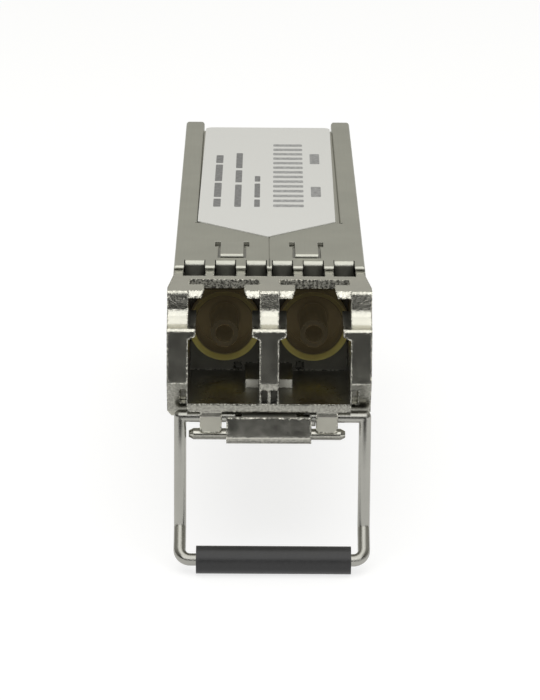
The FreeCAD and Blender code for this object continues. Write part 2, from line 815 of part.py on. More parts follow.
def build_bail_grip():
    """Soft tube over the crossbar of the bail."""
    middle = bail_shift + grip_shift
    left = middle - grip_length / 2
    right = middle + grip_length / 2
    tube = rod_x(grip_diameter / 2, left, right, bar_y, bar_z)
    return tube.cut(rod_x(wire_radius + grip_wall_gap, left - 1, right + 1, bar_y, bar_z))


def build_latch_lever():
    """Front block with cam notches, neck, hub, arm and wedge-shaped latch boss."""
    half = block_width / 2
    back = block_front + block_depth
    block = box(-half, half, block_front, back, block_bottom, block_top)
    lower_edges = edges_near(block, lambda p: abs(p.z - block_bottom) < 0.01
                             and min(abs(p.y - block_front), abs(p.y - back)) < 0.01)
    block = block.makeFillet(block_round, lower_edges)
    notch_floor = pivot_z - cam_throw - wire_radius - cam_gap
    notch_back = bail_pivot_y + wire_radius + cam_throw + moving_gap
    notch = box(cam_inner - bail_play, half + 1, block_front + block_skin, notch_back, notch_floor, 0)
    block = block.cut(both_sides(notch) + [rod_x(rod_diameter / 2, -half - 1, half + 1, rod_y, rod_z)])

    half_arm = arm_width / 2
    neck = box(-half_arm, half_arm, back - slip, latch_pin_y, block_top - neck_depth, block_top)
    hub = rod_x(hub_radius, -half_arm, half_arm, latch_pin_y, pin_z)
    arm = prism_yz([(latch_pin_y, pin_z - 0.9 * hub_radius), (latch_pin_y + 2 * hub_radius, arm_underside),
                    (boss_shoulder, arm_underside), (boss_shoulder, running),
                    (boss_shoulder + boss_flat, running), (boss_end, arm_underside), (boss_end, arm_top),
                    (latch_pin_y + 1.6 * hub_radius, arm_top), (latch_pin_y, pin_z + 0.9 * hub_radius)],
                   -half_arm, half_arm)
    shape = joined([block, neck, hub, arm])
    return shape.cut(rod_x(latch_pin_diameter / 2 + running, -half_arm - 1, half_arm + 1, latch_pin_y, pin_z))


def build_lever_rod():
    """Rod across the lever block, with chamfered ends."""
    radius = rod_diameter / 2
    half = rod_length / 2
    angles = [math.pi / 5, math.pi / 2]
    dome = half - radius * math.cos(angles[0])
    steps = [(radius * math.sin(angle), dome + radius * math.cos(angle)) for angle in angles]
    profile = [(0, steps[0][1])] + steps
    profile = profile + [(r, -x) for r, x in reversed(profile)]
    points = [Vector(x + rod_shift, rod_y, rod_z + r) for r, x in profile]
    face = Part.Face(Part.makePolygon(points + points[:1]))
    return face.revolve(Vector(0, rod_y, rod_z), Vector(1, 0, 0), 360)


def build_latch_pin():
    """Pin between the two lugs of the nose."""
    return rod_x(latch_pin_diameter / 2, -lug_outer, lug_outer, latch_pin_y, pin_z)


def build_latch_spring():
    """Bowed leaf between the roof of its pocket and the latch arm."""
    half = spring_span / 2
    left = -spring_width / 2
    low = arm_top
    high = spring_top - spring_thickness
    rise = Vector(0, 0, spring_thickness)
    a = Vector(left, spring_y - half, high)
    b = Vector(left, spring_y, low)
    c = Vector(left, spring_y + half, high)
    edges = [arc(a, b, c), line(c, c + rise), arc(c + rise, b + rise, a + rise), line(a + rise, a)]
    return band(edges, Vector(spring_width, 0, 0))


def build_circuit_board():
    """Board with its bevelled connector edge."""
    bevel = board_nose_chamfer
    outline = [(board_front, board_underside), (board_back - bevel, board_underside),
               (board_back, board_underside + bevel), (board_back, board_top - bevel),
               (board_back - bevel, board_top), (board_front, board_top)]
    return prism_yz(outline, -board_width / 2, board_width / 2)


def build_contacts(z):
    """Row of gold contacts on one face of the board."""
    contacts = []
    for index in range(contact_count):
        x = (index - (contact_count - 1) / 2) * contact_pitch
        contacts.append(box(x - contact_width / 2, x + contact_width / 2, contact_start,
                            contact_start + contact_length, z, z + contact_thickness))
    return group(contacts)


def build_flat_chip(y, z, width, length, height):
    """Flat package on the middle line, with bevelled top edges."""
    shape = box(-width / 2, width / 2, y - length / 2, y + length / 2, z, z + height)
    top = edges_near(shape, lambda p: abs(p.z - z - height) < 0.001)
    return shape.makeChamfer(chip_bevel, top)


def build_memory_chip():
    """Small package with a row of gull-wing pins on each side."""
    body = build_flat_chip(memory_y, board_top + pin_height, memory_width, memory_length, memory_height)
    pins = []
    for index in range(4):
        y = memory_y + (index - 1.5) * pin_pitch
        inside = memory_width / 2
        outside = inside + pin_reach
        root = inside - pin_reach
        knee = inside + pin_gauge
        low = board_top + pin_height
        high = low + pin_gauge
        foot = board_top + pin_gauge
        outline = [(root, low), (root, high), (knee, high), (knee, foot), (outside, foot),
                   (outside, board_top), (inside, board_top), (inside, low)]
        pins.extend(both_sides(prism_xz(outline, y - pin_width / 2, y + pin_width / 2)))
    return joined([body] + pins)


def build_chip_row(y, count, length, width, height):
    """Row of small two-ended parts across the board, in front of the contacts."""
    parts = []
    for index in range(count):
        x = (index - (count - 1) / 2) * chip_row_pitch
        parts.append(box(x - width / 2, x + width / 2, y - length / 2, y + length / 2,
                         board_top, board_top + height))
    return group(parts)


def save(name, shape):
    """Writes one piece, with Y = 0 moved to the cage stop."""
    moved = shape.copy()
    moved.translate(Vector(0, -nose_length, 0))
    moved.exportStep("parts/" + name + ".step")


os.makedirs("parts", exist_ok=True)
save("nose", build_nose())
save("base", build_base())
save("top_cover", build_top_cover())
save("label", build_label())
for side, x in (("tx", -port_x), ("rx", port_x)):
    save(side + "_receptacle", build_receptacle(x))
    save(side + "_can", build_can(x))
    save(side + "_leads", build_leads(x))
save("osa_retainer", build_osa_retainer())
save("bail_wire", build_bail_wire())
save("bail_grip", build_bail_grip())
save("latch_lever", build_latch_lever())
save("lever_rod", build_lever_rod())
save("latch_pin", build_latch_pin())
save("latch_spring", build_latch_spring())
save("circuit_board", build_circuit_board())
save("contacts_top", build_contacts(board_top))
save("contacts_bottom", build_contacts(board_underside - contact_thickness))
save("driver_chip", build_flat_chip(driver_y, board_top, driver_width, driver_width, driver_height))
save("controller_chip", build_flat_chip(controller_y, board_top, controller_width, controller_width,
                                        controller_height))
save("memory_chip", build_memory_chip())
save("chip_capacitors", build_chip_row(capacitor_y, capacitor_count, capacitor_length, capacitor_width,
                                       capacitor_height))
save("chip_resistors", build_chip_row(resistor_y, resistor_count, resistor_length, resistor_width,
                                      resistor_height))
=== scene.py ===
"""Looks of the pluggable optical transceiver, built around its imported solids."""
import math

import bmesh
import bpy
from mathutils import Matrix, Vector


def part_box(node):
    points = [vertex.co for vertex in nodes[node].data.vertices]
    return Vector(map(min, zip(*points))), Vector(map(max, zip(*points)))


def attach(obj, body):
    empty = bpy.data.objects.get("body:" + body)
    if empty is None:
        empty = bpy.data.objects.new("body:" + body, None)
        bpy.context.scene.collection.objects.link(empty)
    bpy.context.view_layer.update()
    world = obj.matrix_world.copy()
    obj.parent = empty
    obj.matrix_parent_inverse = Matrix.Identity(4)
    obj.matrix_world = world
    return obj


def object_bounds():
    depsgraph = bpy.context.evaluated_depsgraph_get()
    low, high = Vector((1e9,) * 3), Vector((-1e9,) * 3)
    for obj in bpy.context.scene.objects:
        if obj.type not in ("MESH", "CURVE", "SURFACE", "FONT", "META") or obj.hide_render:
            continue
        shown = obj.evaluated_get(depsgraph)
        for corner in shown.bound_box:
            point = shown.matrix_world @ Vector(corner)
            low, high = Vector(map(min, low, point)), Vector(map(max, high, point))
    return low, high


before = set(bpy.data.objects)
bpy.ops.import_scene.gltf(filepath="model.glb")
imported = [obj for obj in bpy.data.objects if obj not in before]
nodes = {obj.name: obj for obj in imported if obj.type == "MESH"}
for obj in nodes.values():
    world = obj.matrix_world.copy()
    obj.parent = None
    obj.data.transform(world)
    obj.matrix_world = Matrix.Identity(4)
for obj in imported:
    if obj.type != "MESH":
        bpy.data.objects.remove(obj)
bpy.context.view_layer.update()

MM = 0.001

# Camera, fitted to the photograph: the point it looks at and its angles
LOOK_AT = Vector((0.04, -9.0, 4.54)) * MM
CAMERA_DISTANCE = 255.4 * MM
CAMERA_ELEVATION = math.radians(15.39)
CAMERA_YAW = math.radians(0.285)
CAMERA_ROLL = math.radians(0.419)
FOCAL_PIXELS = 3740.0
PICTURE_HEIGHT = 700.0
SENSOR = 36.0
NEAREST_SEEN = 0.01

# Floor, in metres, with its own grey and the glow that turns it white for the camera and reflections
FLOOR_GAP = 0.03 * MM
FLOOR_FRONT = -0.30
FLOOR_BACK = 0.9
FLOOR_HALF_WIDTH = 0.6
FLOOR_GREY = 0.35
FLOOR_GLOW = 0.74
STAGE_ROUGHNESS = 0.9

# Dark card on the floor, outside the photograph's picture, which only reflections see: its ends far from the
# object and near it, in metres, with its half widths there
CARD_FAR = -0.29
CARD_NEAR = -0.0362
CARD_FAR_HALF = 0.07
CARD_NEAR_HALF = 0.024
CARD_LIFT = 0.5 * MM
CARD_GREY = 0.03

# Room: the way its light grows, and its shades with their places along that way
ROOM_WAY = (0.0, 0.6, 0.8)
ROOM_REACH = (-0.5, 1.0)
ROOM_STOPS = [(0.2, (0.05, 0.05, 0.045)), (0.75, (0.50, 0.495, 0.455))]

# Lamps: place, target, width, height and power
LAMPS = {
    "overhead softbox": ((0.0, -0.03, 0.30), (0.0, -0.03, 0.0), 0.3, 0.46, 0.52),
    "front softbox": ((0.0, -0.32, 0.22), (0.0, 0.0, 0.0), 0.5, 0.22, 0.56),
}

# Noise scales, in waves to the metre
GRAIN_SCALE = 5200.0
WAVE_SCALE = 900.0
EDGE_SCALE = 5000.0
SPECK_SCALE = 6200.0
CRUMB_SCALE = 4600.0
MARK_SCALE = 5000.0
CLOUD_SCALE = 300.0
SWIRL_SCALE = 900.0

# Ranges of noise over which the colour of plate and of the other materials changes
WIDE_REACH = (0.3, 0.7)
NARROW_REACH = (0.35, 0.65)

# Plated castings: tints and changes of roughness over their waves
PLATE_TINTS = (0.94, 1.04)
PLATE_GLOSS = (-0.03, 0.05)

# Rough edges of castings: shares of their radius, agreement of normals where an edge is whole and where it
# ends, noise step and roughness of their specks (partly painted glints), and roughness and height in
# millimetres of their crumbs
EDGE_SHARES = (0.35, 1.6)
EDGE_TURN = (0.93, 0.997)
SPECK_STEP = (0.42, 0.58)
SPECK_ROUGHNESS = 0.7
CRUMB_ROUGHNESS = 0.8
CRUMB_HEIGHT = 0.30
EDGE_SAMPLES = 8

# Satin parts of castings: their roughness, and the height in millimetres over which they end
SATIN_ROUGHNESS = 0.65
SATIN_FADE = 0.1

# Faces that look down or up: the upward part of the normal over which they end or begin, and the share of
# the colour left on those that look down, a painted shade
UNDERSIDE_TURN = (-0.15, -0.03)
UNDERSIDE_SHADE_SHARES = (0.44, 0.6325)
TOPSIDE_TURN = (0.7, 0.9)

# Painted shade in recesses, with a duller plate there: reach in millimetres, openness where it is darkest and
# where it ends, and the least share of the colour that it leaves
NOSE_RECESS = (3.0, 0.42, 0.88, 0.28)
COVER_RECESS = (1.0, 0.35, 0.75, 0.12)
RECESS_SAMPLES = 8
RECESS_ROUGHNESS = 0.6

# Heights between which a port's inside, with its painted shade and duller plate, begins and ends, in
# millimetres
PORT_SILL = (0.25, 0.5)
PORT_ROOF = (6.8, 7.4)

# The nose's lower corners, which the painted recess shade leaves out: where they begin from the middle and
# where they end in height, in millimetres
CORNER_INNER = (5.58, 5.66)
CORNER_TOP = (2.0, 2.3)

# Slots behind the port lips: front and rear along the length in millimetres, and shares of their specks
SLOT_FRONT = (-5.65, -5.55)
SLOT_REAR = (-3.95, -3.85)
SLOT_SHARES = (0.2, 0.85)

# Crumbs on the fronts of the upper posts: start in height and end along the length in millimetres, and share
POST_TOP = (6.6, 7.4)
POST_FRONT = (-7.3, -7.2)
POST_CRUMBS = 0.32

# Rolled sheet: tints, changes of roughness, height in millimetres and strength of its marks, samples of its
# edges, and the usual stretch of the marks
SHEET_TINTS = (0.96, 1.03)
SHEET_GLOSS = (-0.03, 0.04)
MARK_HEIGHT = 0.0015
MARK_STRENGTH = 0.5
SHEET_EDGE_SAMPLES = 4
ALONG_Y = (1.0, 0.1, 1.0)

# Where the painted shade on the cover's spring fingers ends, along the length in millimetres
FINGER_SHADE_END = (0.8, 1.4)

# Mouldings: changes of roughness
MOULD_GLOSS = (-0.05, 0.07)

# Amber plastic: port axes, reach of its zones and start of its rim in millimetres, colours, and the zones as
# radius and colour; the dark browns in the bore, on the sleeve and deeper in are a painted shade of one amber
PORT_X = 3.125
PORT_Z = 4.1
AMBER_REACH = 3.0
AMBER_BORE = (0.055, 0.044, 0.024)
AMBER_SLEEVE = (0.042, 0.034, 0.019)
AMBER_DEEP = (0.06, 0.048, 0.026)
AMBER_RIM = (0.50, 0.43, 0.115)
AMBER_RIM_START = (2.1, 2.19)
AMBER_ZONES = [(0.645, AMBER_BORE), (0.705, AMBER_SLEEVE), (1.08, AMBER_SLEEVE), (1.2, AMBER_DEEP),
               (AMBER_RIM_START[0], AMBER_DEEP), (AMBER_RIM_START[1], AMBER_RIM)]

# The amber's upper half, a painted shade, and inner end, painted light: where they begin and are whole, in
# height and along the length in millimetres, and their shares of the colour, the upper half also at its rim
AMBER_UPPER_SHADE = (3.2, 4.6)
AMBER_UPPER_SHADE_SHARE = 0.8
AMBER_RIM_SHADE_SHARE = 0.3
AMBER_INNER_LIGHT = (-0.5, 2.0)
AMBER_INNER_LIGHT_SHARE = 5.0

# The amber's swirl: tints, roughness and height in millimetres
AMBER_TINTS = (0.92, 1.08)
AMBER_ROUGHNESS = (0.36, 0.46)
AMBER_SWIRL_HEIGHT = 0.003

# Plain printed fields on the label, in millimetres: rows of (middle, width, runs along the length)
PRINT_THICKNESS = 0.008
PRINT_CORNER = 0.08
PRINT_ROWS = [(-3.75, 0.55, [(16.6, 19.2), (19.8, 24.6), (25.2, 31.0), (31.6, 34.4)]),
              (-2.2, 0.5, [(16.6, 24.0), (24.8, 29.0), (29.8, 35.2)]),
              (-0.75, 0.42, [(16.6, 19.0), (19.7, 24.4), (25.1, 27.0)])]
PRINT_BLOCKS = [(3.7, 0.75, [(20.0, 23.4), (31.4, 35.0)])]

# Ruled block on the label, in millimetres, with the count of its rules and the number of their tone
RULE_LEFT, RULE_RIGHT = 0.45, 2.75
RULE_FRONT, RULE_REAR = 16.6, 39.4
RULE_COUNT = 14
RULE_TONE = 2

# Greys of the rows, the blocks and the rules, and the label's shift to the side at its front, in millimetres
PRINT_TONES = (0.20, 0.30, 0.34)
LABEL_TURN = -0.18

# Inputs and output of a mix node by their numbers, for colours and for values
MIX_COLOURS = (6, 7)
MIX_COLOUR = 2
MIX_VALUES = (2, 3)
MIX_VALUE = 0


def new_material(name):
    """A node material, with its tree and its principled shader."""
    material = bpy.data.materials.new(name)
    material.use_nodes = True
    tree = material.node_tree
    return material, tree, tree.nodes["Principled BSDF"]


def set_inputs(node, **values):
    """Sets inputs of a node by name."""
    for name, value in values.items():
        node.inputs[name.replace("_", " ")].default_value = value


def add(tree, kind, **values):
    """A node with some of its inputs set by name."""
    node = tree.nodes.new(kind)
    set_inputs(node, **values)
    return node


def object_place(tree):
    """The place in the object's own metres, which at rest are the frame's."""
    return tree.nodes.new("ShaderNodeTexCoord").outputs["Object"]


def noise(tree, scale, detail=2.0, stretch=(1.0, 1.0, 1.0), roughness=0.55):
    """Noise in the object's own metres, stretched along the axes."""
    mapping = add(tree, "ShaderNodeMapping", Scale=stretch)
    texture = add(tree, "ShaderNodeTexNoise", Scale=scale, Detail=detail, Roughness=roughness)
    tree.links.new(object_place(tree), mapping.inputs["Vector"])
    tree.links.new(mapping.outputs["Vector"], texture.inputs["Vector"])
    return texture.outputs["Fac"]


def ramp(tree, source, stops):
    """Colour ramp of (position, colour) stops driven by a value."""
    node = tree.nodes.new("ShaderNodeValToRGB")
    elements = node.color_ramp.elements
    while len(elements) < len(stops):
        elements.new(0.5)
    for element, (position, colour) in zip(elements, stops):
        element.position = position
        element.color = (*colour, 1.0)
    tree.links.new(source, node.inputs["Fac"])
    return node.outputs["Color"]


def spread(tree, source, low, high, from_low=WIDE_REACH[0], from_high=WIDE_REACH[1]):
    """A value moved from one range to another."""
    node = add(tree, "ShaderNodeMapRange", From_Min=from_low, From_Max=from_high, To_Min=low, To_Max=high)
    tree.links.new(source, node.inputs["Value"])
    return node.outputs["Result"]


def bump(tree, height, distance, strength=1.0, normal=None):
    """Normal of a bump with a height in millimetres and a strength that is a number or a socket."""
    node = add(tree, "ShaderNodeBump", Distance=distance * MM)
    tree.links.new(height, node.inputs["Height"])
    if isinstance(strength, float):
        node.inputs["Strength"].default_value = strength
    else:
        tree.links.new(strength, node.inputs["Strength"])
    if normal is not None:
        tree.links.new(normal, node.inputs["Normal"])
    return node.outputs["Normal"]


def tint(colour, factor):
    """A colour made lighter or darker."""
    return tuple(min(1.0, part * factor) for part in colour)


def tinted(tree, source, colour, tints, reach=WIDE_REACH):
    """A colour that goes between two tints with a value."""
    return ramp(tree, source, [(place, tint(colour, factor)) for place, factor in zip(reach, tints)])


def vector_math(tree, operation, first, second=None, result="Vector"):
    """Vector math on a socket and, where it takes two, a socket or a constant."""
    node = tree.nodes.new("ShaderNodeVectorMath")
    node.operation = operation
    tree.links.new(first, node.inputs[0])
    if isinstance(second, tuple):
        node.inputs[1].default_value = second
    elif second is not None:
        tree.links.new(second, node.inputs[1])
    return node.outputs[result]


def part_of(tree, vector, axis):
    """One part of a vector."""
    parts = tree.nodes.new("ShaderNodeSeparateXYZ")
    tree.links.new(vector, parts.inputs["Vector"])
    return parts.outputs[axis]


def larger(tree, first, second):
    """The larger of two values."""
    node = tree.nodes.new("ShaderNodeMath")
    node.operation = "MAXIMUM"
    tree.links.new(first, node.inputs[0])
    tree.links.new(second, node.inputs[1])
    return node.outputs[0]


def between(tree, share, low, high):
    """A value that goes from one value or socket to another with a share."""
    node = tree.nodes.new("ShaderNodeMix")
    tree.links.new(share, node.inputs["Factor"])
    for socket, value in zip(MIX_VALUES, (low, high)):
        if isinstance(value, float):
            node.inputs[socket].default_value = value
        else:
            tree.links.new(value, node.inputs[socket])
    return node.outputs[MIX_VALUE]


def shaded(tree, colours, share):
    """A colour multiplied by a share."""
    node = add(tree, "ShaderNodeMix", Factor=1.0)
    node.data_type = "RGBA"
    node.blend_type = "MULTIPLY"
    for socket, source in zip(MIX_COLOURS, (colours, share)):
        tree.links.new(source, node.inputs[socket])
    return node.outputs[MIX_COLOUR]


def depth_value(tree, front, rear):
    """0 in front of one place along the length and 1 behind another, both in millimetres."""
    return spread(tree, part_of(tree, object_place(tree), "Y"), 0.0, 1.0, front * MM, rear * MM)


def height_value(tree, low, high):
    """0 below one height and 1 above another, both in millimetres."""
    return spread(tree, part_of(tree, object_place(tree), "Z"), 0.0, 1.0, low * MM, high * MM)


def folded_place(tree):
    """The place with its signs dropped, so that the left half falls on the right one."""
    return vector_math(tree, "ABSOLUTE", object_place(tree))


def side_value(tree, inner, outer):
    """0 nearer the middle than one distance and 1 past another, both in millimetres."""
    return spread(tree, part_of(tree, folded_place(tree), "X"), 0.0, 1.0, inner * MM, outer * MM)


def face_normal(tree):
    """The normal of the face itself."""
    return tree.nodes.new("ShaderNodeNewGeometry").outputs["Normal"]


def underside(tree):
    """1 on faces that look down, which take a painted shade, and 0 on the others."""
    return spread(tree, part_of(tree, face_normal(tree), "Z"), 1.0, 0.0, *UNDERSIDE_TURN)


def topside(tree):
    """1 on faces that look up and 0 on the others."""
    return spread(tree, part_of(tree, face_normal(tree), "Z"), 0.0, 1.0, *TOPSIDE_TURN)


def recess_shade(tree, reach, closed, open_share, floor):
    """Share of the colour left in recesses: a painted shade, darker where ambient occlusion finds them more
    closed.
    """
    hollow = add(tree, "ShaderNodeAmbientOcclusion", Distance=reach * MM)
    hollow.samples = RECESS_SAMPLES
    return spread(tree, hollow.outputs["AO"], floor, 1.0, closed, open_share)


def uneven_edges(tree, edge_radius):
    """Normal of rounded edges whose radius in millimetres wanders."""
    edges = tree.nodes.new("ShaderNodeBevel")
    edges.samples = EDGE_SAMPLES
    least, most = EDGE_SHARES
    wander = noise(tree, EDGE_SCALE, roughness=SPECK_ROUGHNESS)
    radius = spread(tree, wander, least * edge_radius * MM, most * edge_radius * MM)
    tree.links.new(radius, edges.inputs["Radius"])
    return edges.outputs["Normal"]


def edge_share(tree, edges):
    """1 on the rounded edges of a bevel node's normal and 0 on the faces between them."""
    turn = vector_math(tree, "DOT_PRODUCT", edges, face_normal(tree), "Value")
    return spread(tree, turn, 1.0, 0.0, *EDGE_TURN)


def low_corner(tree):
    """1 on the nose's lower outer corners and 0 elsewhere."""
    return between(tree, height_value(tree, *CORNER_TOP), side_value(tree, *CORNER_INNER), 0.0)


def lip_slot(tree):
    """1 on the walls of the slots behind the port lips and 0 elsewhere."""
    walls = between(tree, topside(tree), height_value(tree, *PORT_ROOF), 0.0)
    walls = between(tree, depth_value(tree, *SLOT_FRONT), 0.0, walls)
    return between(tree, depth_value(tree, *SLOT_REAR), walls, 0.0)


def post_crumbs(tree):
    """Share of crumbs on the fronts of the upper posts, and 0 elsewhere."""
    fronts = between(tree, topside(tree), height_value(tree, *POST_TOP), 0.0)
    fronts = between(tree, depth_value(tree, *POST_FRONT), fronts, 0.0)
    return spread(tree, fronts, 0.0, POST_CRUMBS, 0.0, 1.0)


def nose_recesses(tree, recess, colours, gloss, specks, speck_range):
    """Colour and roughness of the nose: painted shade and a duller plate in its ports and recesses, and the
    crumbly slots behind their lips.
    """
    # recesses above the port sill are darkened by occlusion: a painted shade
    left = between(tree, height_value(tree, *PORT_SILL), 1.0, recess_shade(tree, *recess))
    left = between(tree, low_corner(tree), left, 1.0)
    dull = between(tree, left, RECESS_ROUGHNESS, gloss)
    gloss = between(tree, height_value(tree, *PORT_ROOF), dull, gloss)
    slot = lip_slot(tree)
    gloss = between(tree, slot, gloss, SATIN_ROUGHNESS)
    slot_specks = spread(tree, specks, *SLOT_SHARES, *speck_range)
    return shaded(tree, colours, between(tree, slot, left, slot_specks)), gloss


def plated_casting(name, colour, roughness, grain, edge_radius, wave=2.0, sparkle=0.7, recess=None,
                   satin_below=None, satin_top=False):
    """Bright plate on a rough casting: uneven sparkling edges, slow waves, a fine grain and a painted shade
    on faces that look down.

    Lengths are in millimetres. Only the nose has a recess, and with it ports, slots and posts.
    """
    material, tree, shader = new_material(name)
    waves = noise(tree, WAVE_SCALE)
    edges = uneven_edges(tree, edge_radius)
    edge = edge_share(tree, edges)
    if recess is not None:
        edge = larger(tree, edge, post_crumbs(tree))
    speck_range = (1.0 - sparkle, 1.0 + sparkle)
    specks = spread(tree, noise(tree, SPECK_SCALE, roughness=SPECK_ROUGHNESS), *speck_range, *SPECK_STEP)
    colours = tinted(tree, waves, colour, PLATE_TINTS)
    # edges, and a share of the upper posts' fronts, take lighter and darker specks of colour: partly random
    # tone, partly painted glints
    colours = shaded(tree, colours, between(tree, edge, 1.0, specks))
    gloss = spread(tree, waves, *(roughness + change for change in PLATE_GLOSS))
    # faces that look down are darkened, specked at random: a painted shade
    lower = underside(tree)
    if satin_below is not None:
        above = height_value(tree, satin_below - SATIN_FADE, satin_below)
        lower = between(tree, above, 0.0, lower)
        gloss = between(tree, above, SATIN_ROUGHNESS, gloss)
    if satin_top:
        gloss = between(tree, topside(tree), gloss, SATIN_ROUGHNESS)
    underside_shade = spread(tree, specks, *UNDERSIDE_SHADE_SHARES, *speck_range)
    colours = shaded(tree, colours, between(tree, lower, 1.0, underside_shade))
    if recess is not None:
        colours, gloss = nose_recesses(tree, recess, colours, gloss, specks, speck_range)
    tree.links.new(colours, shader.inputs["Base Color"])
    set_inputs(shader, Metallic=1.0)
    tree.links.new(gloss, shader.inputs["Roughness"])
    normal = bump(tree, waves, wave * grain, 1.0, edges)
    crumbs = noise(tree, CRUMB_SCALE, roughness=CRUMB_ROUGHNESS)
    normal = bump(tree, crumbs, CRUMB_HEIGHT, spread(tree, edge, 0.0, sparkle, 0.0, 1.0), normal)
    normal = bump(tree, noise(tree, GRAIN_SCALE, detail=3.0), grain, 1.0, normal)
    tree.links.new(normal, shader.inputs["Normal"])
    return material


def rolled_sheet(name, colour, roughness, stretch=ALONG_Y, edge_radius=0.05, recess=None):
    """Satin metal with long faint rolling marks, and on the cover a painted shade in its spring-finger
    pockets.
    """
    material, tree, shader = new_material(name)
    marks = noise(tree, MARK_SCALE, stretch=stretch)
    colours = tinted(tree, noise(tree, CLOUD_SCALE), colour, SHEET_TINTS, NARROW_REACH)
    # in front, the spring-finger pockets are darkened by occlusion: a painted shade
    if recess is not None:
        behind = depth_value(tree, *FINGER_SHADE_END)
        colours = shaded(tree, colours, between(tree, behind, recess_shade(tree, *recess), 1.0))
    tree.links.new(colours, shader.inputs["Base Color"])
    set_inputs(shader, Metallic=1.0)
    gloss = spread(tree, marks, *(roughness + change for change in SHEET_GLOSS))
    tree.links.new(gloss, shader.inputs["Roughness"])
    edges = add(tree, "ShaderNodeBevel", Radius=edge_radius * MM)
    edges.samples = SHEET_EDGE_SAMPLES
    normal = bump(tree, marks, MARK_HEIGHT, MARK_STRENGTH, edges.outputs["Normal"])
    tree.links.new(normal, shader.inputs["Normal"])
    return material


def moulded(name, colour, roughness, scale, grain, variation=0.12, coat=0.0):
    """Moulded plastic, film or ceramic with a fine skin."""
    material, tree, shader = new_material(name)
    skin = noise(tree, scale, detail=3.0)
    colours = tinted(tree, skin, colour, (1 - variation, 1 + variation), NARROW_REACH)
    tree.links.new(colours, shader.inputs["Base Color"])
    gloss = spread(tree, skin, *(roughness + change for change in MOULD_GLOSS))
    tree.links.new(gloss, shader.inputs["Roughness"])
    set_inputs(shader, Coat_Weight=coat)
    tree.links.new(bump(tree, skin, grain), shader.inputs["Normal"])
    return material


def bore_radius(tree):
    """Distance from the nearer port axis, in millimetres."""
    moved = vector_math(tree, "SUBTRACT", folded_place(tree), (PORT_X * MM, 0.0, PORT_Z * MM))
    across = vector_math(tree, "MULTIPLY", moved, (1.0 / MM, 0.0, 1.0 / MM))
    return vector_math(tree, "LENGTH", across, result="Value")


def amber_plastic(name):
    """Amber engineering plastic: brown in the bore and on the sleeve as painted shade, olive yellow at the
    rim, with painted shade on its upper half, painted light at its inner end and a faint painted glow.
    """
    material, tree, shader = new_material(name)
    swirl = noise(tree, SWIRL_SCALE)
    radius = bore_radius(tree)
    ring = spread(tree, radius, 0.0, 1.0, 0.0, AMBER_REACH)
    # dark brown zones in the bore, on the sleeve and deeper in: a painted shade
    colours = ramp(tree, ring, [(place / AMBER_REACH, zone) for place, zone in AMBER_ZONES])
    # upper half darker, less so at the rim: a painted shade
    rim = spread(tree, radius, AMBER_UPPER_SHADE_SHARE, AMBER_RIM_SHADE_SHARE, *AMBER_RIM_START)
    upper = between(tree, height_value(tree, *AMBER_UPPER_SHADE), 1.0, rim)
    # inner end made five times lighter to fill its shadow: painted light
    inner = spread(tree, depth_value(tree, *AMBER_INNER_LIGHT), 1.0, AMBER_INNER_LIGHT_SHARE, 0.0, 1.0)
    for share in (upper, inner, spread(tree, swirl, *AMBER_TINTS)):
        colours = shaded(tree, colours, share)
    tree.links.new(colours, shader.inputs["Base Color"])
    tree.links.new(spread(tree, swirl, *AMBER_ROUGHNESS), shader.inputs["Roughness"])
    # faint warm emission: a painted glow, the plastic is no lamp
    set_inputs(shader, Specular_IOR_Level=0.15, Emission_Color=(1.0, 0.78, 0.42, 1.0),
               Emission_Strength=0.017, Subsurface_Weight=0.5, Subsurface_Radius=(1.0, 0.8, 0.5),
               Subsurface_Scale=1.5 * MM)
    tree.links.new(bump(tree, swirl, AMBER_SWIRL_HEIGHT), shader.inputs["Normal"])
    return material


